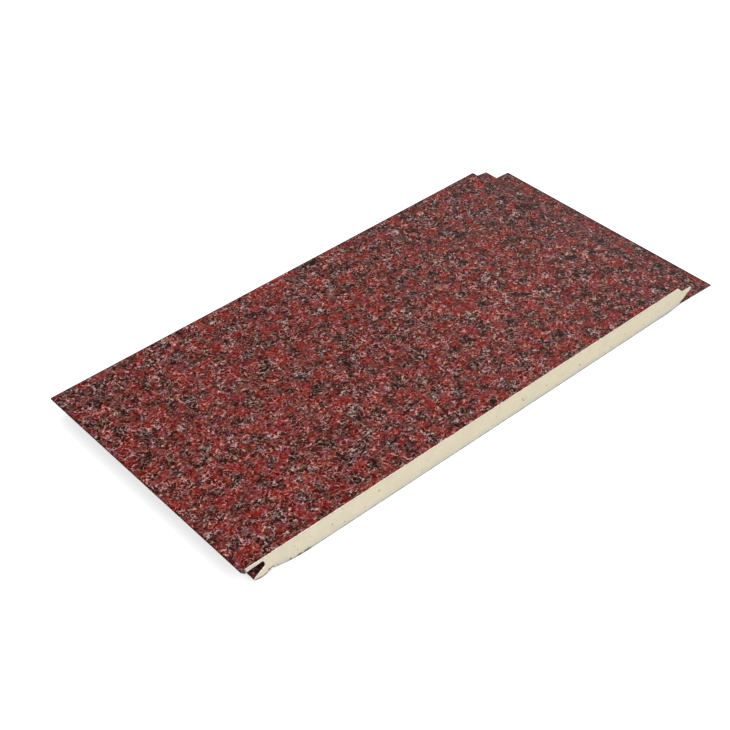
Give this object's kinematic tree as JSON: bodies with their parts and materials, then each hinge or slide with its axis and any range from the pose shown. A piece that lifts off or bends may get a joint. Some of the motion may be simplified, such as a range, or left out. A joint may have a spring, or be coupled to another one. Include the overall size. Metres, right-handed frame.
{
  "type": "insulated facade panel",
  "caption": "Short length of tongue-and-groove cladding panel: roll-formed aluminium facing with a granite print, foam core, foil back and a nailing flange.",
  "frame": {"origin": "middle of the footprint, at the level of the back and of the flange edge, where the panel lies on a floor", "axes": "+X across the panel from the groove edge to the nailing flange, +Y along its length, +Z out of the coated face"},
  "size_m": [0.4205, 0.203, 0.018],
  "materials": {
    "granite_coating": "satin",
    "foam": "matte",
    "foil": "satin"
  },
  "bodies": {
    "root": {"facing_sheet": "granite_coating", "foam_core": "foam", "backing_foil": "foil"}
  },
  "joints": []
}
